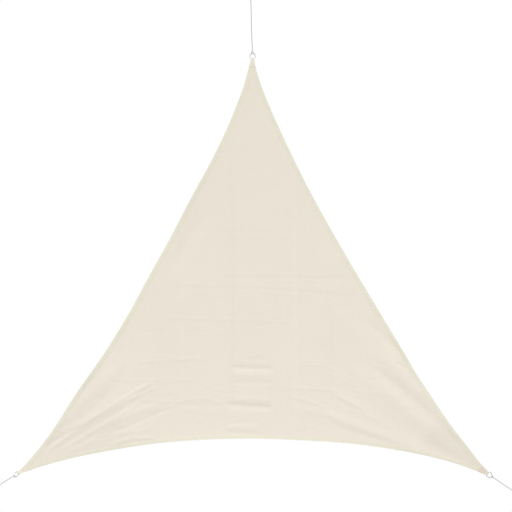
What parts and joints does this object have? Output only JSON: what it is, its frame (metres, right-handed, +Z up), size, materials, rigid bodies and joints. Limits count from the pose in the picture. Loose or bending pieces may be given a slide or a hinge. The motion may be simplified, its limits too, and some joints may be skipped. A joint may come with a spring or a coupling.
{
  "type": "triangular shade sail",
  "caption": "Triangular cloth shade sail with a hem all round, webbing corner tabs, D-rings and taut cords that end in loops.",
  "frame": {"origin": "inside the bight of the top cord's end loop, where the hook that holds it bears", "axes": "+X across the sail towards its lower right corner, +Y from its front face to its back, +Z up"},
  "size_m": [4.0604, 0.0502, 3.8849],
  "materials": {
    "sail_fabric": "closely woven, matt, cream",
    "tab_webbing": "narrow woven webbing, matt, light tan",
    "ring_steel": "bent and welded wire, satin",
    "cord_fibre": "braided rope, matt, grey"
  },
  "bodies": {
    "root": {"sail_cloth": "sail_fabric", "corner_tab_top": "tab_webbing", "corner_tab_left": "tab_webbing", "corner_tab_right": "tab_webbing", "ring_top": "ring_steel", "ring_left": "ring_steel", "ring_right": "ring_steel", "cord_top": "cord_fibre", "cord_left": "cord_fibre", "cord_right": "cord_fibre", "cord_top_hitch": "cord_fibre", "cord_left_hitch": "cord_fibre", "cord_right_hitch": "cord_fibre", "cord_top_end": "cord_fibre", "cord_left_end": "cord_fibre", "cord_right_end": "cord_fibre"}
  },
  "joints": []
}
